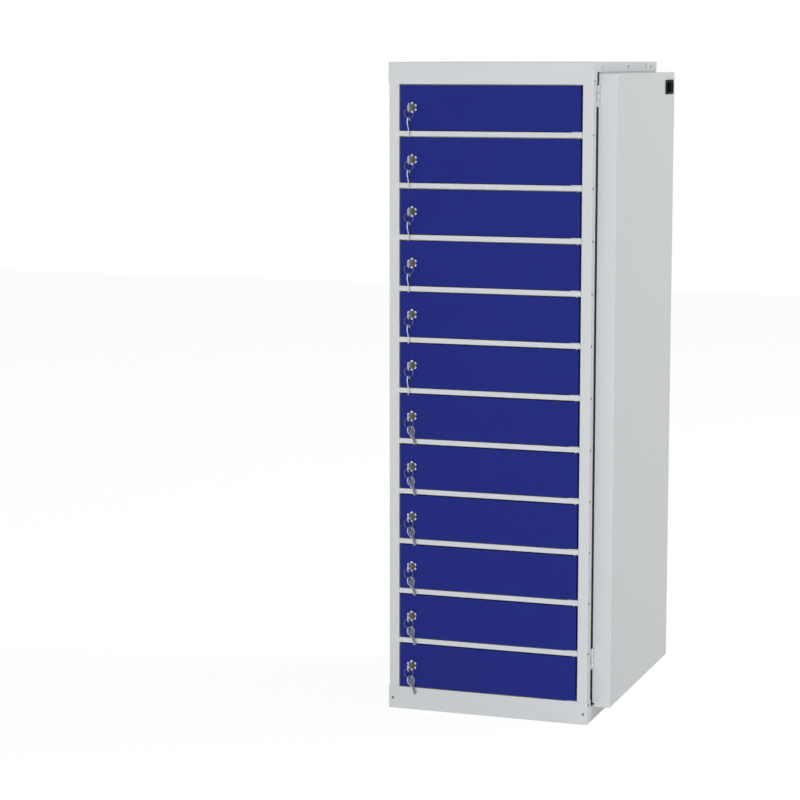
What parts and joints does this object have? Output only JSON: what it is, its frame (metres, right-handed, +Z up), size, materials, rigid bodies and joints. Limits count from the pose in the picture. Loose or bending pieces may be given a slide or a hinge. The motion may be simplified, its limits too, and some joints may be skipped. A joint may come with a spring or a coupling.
{
  "type": "laptop charging locker",
  "caption": "Tall folded-steel charging locker with a column of key-locked pan doors, shelved compartments and a hinged side cover over the charging bay.",
  "frame": {"origin": "centre of the cabinet's footprint on the floor, without the side cover", "axes": "+Z up, the doors face -Y, and the side cover is on +X"},
  "size_m": [0.4142, 0.5088, 1.186],
  "materials": {
    "grey_paint": "light grey powder coat",
    "blue_paint": "deep blue powder coat",
    "lock_chrome": "bright plated",
    "key_nickel": "nickel plated",
    "rivet_metal": "plain blind rivets",
    "black_plastic": "moulded black",
    "strip_plastic": "moulded dark grey"
  },
  "bodies": {
    "carcass": {"base_plinth": "grey_paint", "top_cap": "grey_paint", "front_frame": "grey_paint", "body_wrap": "grey_paint", "bay_wall": "grey_paint", "shelves": "grey_paint", "rivets": "rivet_metal", "cover_hinges": "grey_paint", "cover_catches": "black_plastic"},
    "cover": {"side_cover": "grey_paint", "outlet_strips": "strip_plastic", "mains_inlet": "black_plastic"},
    "door_01": {"door_01": "blue_paint", "lock_01": "lock_chrome"},
    "key_01": {"key_01": "key_nickel"},
    "spare_key_01": {"spare_key_01": "key_nickel"},
    "door_02": {"door_02": "blue_paint", "lock_02": "lock_chrome"},
    "key_02": {"key_02": "key_nickel"},
    "spare_key_02": {"spare_key_02": "key_nickel"},
    "door_03": {"door_03": "blue_paint", "lock_03": "lock_chrome"},
    "key_03": {"key_03": "key_nickel"},
    "spare_key_03": {"spare_key_03": "key_nickel"},
    "door_04": {"door_04": "blue_paint", "lock_04": "lock_chrome"},
    "key_04": {"key_04": "key_nickel"},
    "spare_key_04": {"spare_key_04": "key_nickel"},
    "door_05": {"door_05": "blue_paint", "lock_05": "lock_chrome"},
    "key_05": {"key_05": "key_nickel"},
    "spare_key_05": {"spare_key_05": "key_nickel"},
    "door_06": {"door_06": "blue_paint", "lock_06": "lock_chrome"},
    "key_06": {"key_06": "key_nickel"},
    "spare_key_06": {"spare_key_06": "key_nickel"},
    "door_07": {"door_07": "blue_paint", "lock_07": "lock_chrome"},
    "key_07": {"key_07": "key_nickel"},
    "spare_key_07": {"spare_key_07": "key_nickel"},
    "door_08": {"door_08": "blue_paint", "lock_08": "lock_chrome"},
    "key_08": {"key_08": "key_nickel"},
    "spare_key_08": {"spare_key_08": "key_nickel"},
    "door_09": {"door_09": "blue_paint", "lock_09": "lock_chrome"},
    "key_09": {"key_09": "key_nickel"},
    "spare_key_09": {"spare_key_09": "key_nickel"},
    "door_10": {"door_10": "blue_paint", "lock_10": "lock_chrome"},
    "key_10": {"key_10": "key_nickel"},
    "spare_key_10": {"spare_key_10": "key_nickel"},
    "door_11": {"door_11": "blue_paint", "lock_11": "lock_chrome"},
    "key_11": {"key_11": "key_nickel"},
    "spare_key_11": {"spare_key_11": "key_nickel"},
    "door_12": {"door_12": "blue_paint", "lock_12": "lock_chrome"},
    "key_12": {"key_12": "key_nickel"},
    "spare_key_12": {"spare_key_12": "key_nickel"}
  },
  "joints": [
    {"name": "door_01_swing", "type": "hinge", "parent": "carcass", "child": "door_01", "pos_m": [0.162, -0.2238, 1.10529], "axis": [0, 0, 1], "range_deg": [0, 105]},
    {"name": "lock_01_turn", "type": "hinge", "parent": "door_01", "child": "key_01", "pos_m": [-0.145, -0.231, 1.10529], "axis": [0, 1, 0], "range_deg": [0, 90]},
    {"name": "spare_key_01_swing", "type": "hinge", "parent": "key_01", "child": "spare_key_01", "pos_m": [-0.145, -0.2478, 1.10529], "axis": [-1, 0, 0], "range_deg": [-10, 80]},
    {"name": "door_02_swing", "type": "hinge", "parent": "carcass", "child": "door_02", "pos_m": [0.162, -0.2238, 1.01238], "axis": [0, 0, 1], "range_deg": [0, 105]},
    {"name": "lock_02_turn", "type": "hinge", "parent": "door_02", "child": "key_02", "pos_m": [-0.145, -0.231, 1.01238], "axis": [0, 1, 0], "range_deg": [0, 90]},
    {"name": "spare_key_02_swing", "type": "hinge", "parent": "key_02", "child": "spare_key_02", "pos_m": [-0.145, -0.2478, 1.01238], "axis": [-1, 0, 0], "range_deg": [-10, 80]},
    {"name": "door_03_swing", "type": "hinge", "parent": "carcass", "child": "door_03", "pos_m": [0.162, -0.2238, 0.91946], "axis": [0, 0, 1], "range_deg": [0, 105]},
    {"name": "lock_03_turn", "type": "hinge", "parent": "door_03", "child": "key_03", "pos_m": [-0.145, -0.231, 0.91946], "axis": [0, 1, 0], "range_deg": [0, 90]},
    {"name": "spare_key_03_swing", "type": "hinge", "parent": "key_03", "child": "spare_key_03", "pos_m": [-0.145, -0.2478, 0.91946], "axis": [-1, 0, 0], "range_deg": [-10, 80]},
    {"name": "door_04_swing", "type": "hinge", "parent": "carcass", "child": "door_04", "pos_m": [0.162, -0.2238, 0.82654], "axis": [0, 0, 1], "range_deg": [0, 105]},
    {"name": "lock_04_turn", "type": "hinge", "parent": "door_04", "child": "key_04", "pos_m": [-0.145, -0.231, 0.82654], "axis": [0, 1, 0], "range_deg": [0, 90]},
    {"name": "spare_key_04_swing", "type": "hinge", "parent": "key_04", "child": "spare_key_04", "pos_m": [-0.145, -0.2478, 0.82654], "axis": [-1, 0, 0], "range_deg": [-10, 80]},
    {"name": "door_05_swing", "type": "hinge", "parent": "carcass", "child": "door_05", "pos_m": [0.162, -0.2238, 0.73362], "axis": [0, 0, 1], "range_deg": [0, 105]},
    {"name": "lock_05_turn", "type": "hinge", "parent": "door_05", "child": "key_05", "pos_m": [-0.145, -0.231, 0.73362], "axis": [0, 1, 0], "range_deg": [0, 90]},
    {"name": "spare_key_05_swing", "type": "hinge", "parent": "key_05", "child": "spare_key_05", "pos_m": [-0.145, -0.2478, 0.73362], "axis": [-1, 0, 0], "range_deg": [-10, 80]},
    {"name": "door_06_swing", "type": "hinge", "parent": "carcass", "child": "door_06", "pos_m": [0.162, -0.2238, 0.64071], "axis": [0, 0, 1], "range_deg": [0, 105]},
    {"name": "lock_06_turn", "type": "hinge", "parent": "door_06", "child": "key_06", "pos_m": [-0.145, -0.231, 0.64071], "axis": [0, 1, 0], "range_deg": [0, 90]},
    {"name": "spare_key_06_swing", "type": "hinge", "parent": "key_06", "child": "spare_key_06", "pos_m": [-0.145, -0.2478, 0.64071], "axis": [-1, 0, 0], "range_deg": [-10, 80]},
    {"name": "door_07_swing", "type": "hinge", "parent": "carcass", "child": "door_07", "pos_m": [0.162, -0.2238, 0.54779], "axis": [0, 0, 1], "range_deg": [0, 105]},
    {"name": "lock_07_turn", "type": "hinge", "parent": "door_07", "child": "key_07", "pos_m": [-0.145, -0.231, 0.54779], "axis": [0, 1, 0], "range_deg": [0, 90]},
    {"name": "spare_key_07_swing", "type": "hinge", "parent": "key_07", "child": "spare_key_07", "pos_m": [-0.145, -0.2478, 0.54779], "axis": [-1, 0, 0], "range_deg": [-10, 80]},
    {"name": "door_08_swing", "type": "hinge", "parent": "carcass", "child": "door_08", "pos_m": [0.162, -0.2238, 0.45487], "axis": [0, 0, 1], "range_deg": [0, 105]},
    {"name": "lock_08_turn", "type": "hinge", "parent": "door_08", "child": "key_08", "pos_m": [-0.145, -0.231, 0.45487], "axis": [0, 1, 0], "range_deg": [0, 90]},
    {"name": "spare_key_08_swing", "type": "hinge", "parent": "key_08", "child": "spare_key_08", "pos_m": [-0.145, -0.2478, 0.45487], "axis": [-1, 0, 0], "range_deg": [-10, 80]},
    {"name": "door_09_swing", "type": "hinge", "parent": "carcass", "child": "door_09", "pos_m": [0.162, -0.2238, 0.36196], "axis": [0, 0, 1], "range_deg": [0, 105]},
    {"name": "lock_09_turn", "type": "hinge", "parent": "door_09", "child": "key_09", "pos_m": [-0.145, -0.231, 0.36196], "axis": [0, 1, 0], "range_deg": [0, 90]},
    {"name": "spare_key_09_swing", "type": "hinge", "parent": "key_09", "child": "spare_key_09", "pos_m": [-0.145, -0.2478, 0.36196], "axis": [-1, 0, 0], "range_deg": [-10, 80]},
    {"name": "door_10_swing", "type": "hinge", "parent": "carcass", "child": "door_10", "pos_m": [0.162, -0.2238, 0.26904], "axis": [0, 0, 1], "range_deg": [0, 105]},
    {"name": "lock_10_turn", "type": "hinge", "parent": "door_10", "child": "key_10", "pos_m": [-0.145, -0.231, 0.26904], "axis": [0, 1, 0], "range_deg": [0, 90]},
    {"name": "spare_key_10_swing", "type": "hinge", "parent": "key_10", "child": "spare_key_10", "pos_m": [-0.145, -0.2478, 0.26904], "axis": [-1, 0, 0], "range_deg": [-10, 80]},
    {"name": "door_11_swing", "type": "hinge", "parent": "carcass", "child": "door_11", "pos_m": [0.162, -0.2238, 0.17613], "axis": [0, 0, 1], "range_deg": [0, 105]},
    {"name": "lock_11_turn", "type": "hinge", "parent": "door_11", "child": "key_11", "pos_m": [-0.145, -0.231, 0.17613], "axis": [0, 1, 0], "range_deg": [0, 90]},
    {"name": "spare_key_11_swing", "type": "hinge", "parent": "key_11", "child": "spare_key_11", "pos_m": [-0.145, -0.2478, 0.17613], "axis": [-1, 0, 0], "range_deg": [-10, 80]},
    {"name": "door_12_swing", "type": "hinge", "parent": "carcass", "child": "door_12", "pos_m": [0.162, -0.2238, 0.08321], "axis": [0, 0, 1], "range_deg": [0, 105]},
    {"name": "lock_12_turn", "type": "hinge", "parent": "door_12", "child": "key_12", "pos_m": [-0.145, -0.231, 0.08321], "axis": [0, 1, 0], "range_deg": [0, 90]},
    {"name": "spare_key_12_swing", "type": "hinge", "parent": "key_12", "child": "spare_key_12", "pos_m": [-0.145, -0.2478, 0.08321], "axis": [-1, 0, 0], "range_deg": [-10, 80]},
    {"name": "cover_swing", "type": "hinge", "parent": "carcass", "child": "cover", "pos_m": [0.1866, -0.19, 0.5945], "axis": [0, 0, -1], "range_deg": [0, 90]}
  ]
}
